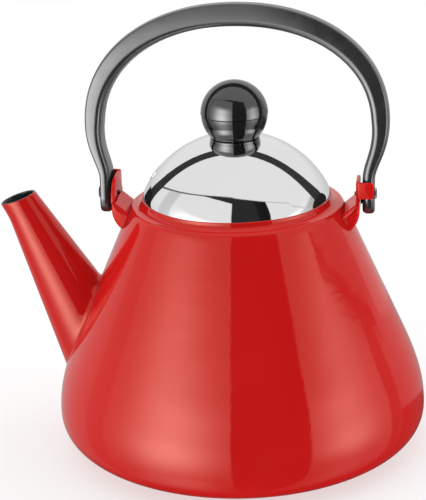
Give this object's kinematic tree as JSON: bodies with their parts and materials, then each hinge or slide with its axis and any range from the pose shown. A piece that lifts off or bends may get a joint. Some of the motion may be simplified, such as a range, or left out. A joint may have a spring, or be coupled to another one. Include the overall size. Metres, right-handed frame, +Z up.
{
  "type": "stovetop whistling kettle",
  "caption": "Conical enamelled stovetop kettle with a slanted spout, an arched handle rocking between two stops and a lift-off domed lid that holds the whistle.",
  "frame": {"origin": "centre of the flat underside that the kettle stands on", "axes": "+Z up along the vessel's axis, -X towards the spout, +Y away from the viewer, so the handle arches in the XZ plane"},
  "size_m": [0.247, 0.216, 0.2567],
  "materials": {
    "red_enamel": "gloss",
    "spout_enamel": "gloss",
    "ear_enamel": "gloss",
    "base_steel": "satin",
    "dark_fastener": "satin",
    "black_spacer": "matte",
    "handle_black": "gloss",
    "knob_black": "gloss",
    "polished_steel": "mirror polish",
    "plain_steel": "satin",
    "seal_rubber": "matte",
    "insert_brass": "plain"
  },
  "bodies": {
    "kettle": {"body_shell": "red_enamel", "base_plate": "base_steel", "spout": "spout_enamel", "ear_right": "ear_enamel", "ear_left": "ear_enamel", "rivet_right": "dark_fastener", "rivet_left": "dark_fastener", "washer_right": "black_spacer", "washer_left": "black_spacer"},
    "handle": {"handle_grip": "handle_black", "bush_right": "dark_fastener", "bush_left": "dark_fastener"},
    "lid": {"lid_dome": "polished_steel", "lid_skirt": "plain_steel", "lid_seal": "seal_rubber", "knob_washer": "black_spacer", "knob_base": "knob_black", "knob_cap": "knob_black", "knob_insert": "insert_brass", "screw_washer": "plain_steel", "knob_screw": "plain_steel", "whistle_cup": "plain_steel", "whistle_inner_disc": "plain_steel", "whistle_outer_disc": "plain_steel"}
  },
  "joints": [
    {"name": "handle_swing", "type": "hinge", "parent": "kettle", "child": "handle", "pos_m": [0, 0, 0.1496], "axis": [1, 0, 0], "range_deg": [0, 20]},
    {"name": "lid_lift", "type": "slide", "parent": "kettle", "child": "lid", "axis": [0, 0, 1], "range_m": [0, 0.025]}
  ]
}
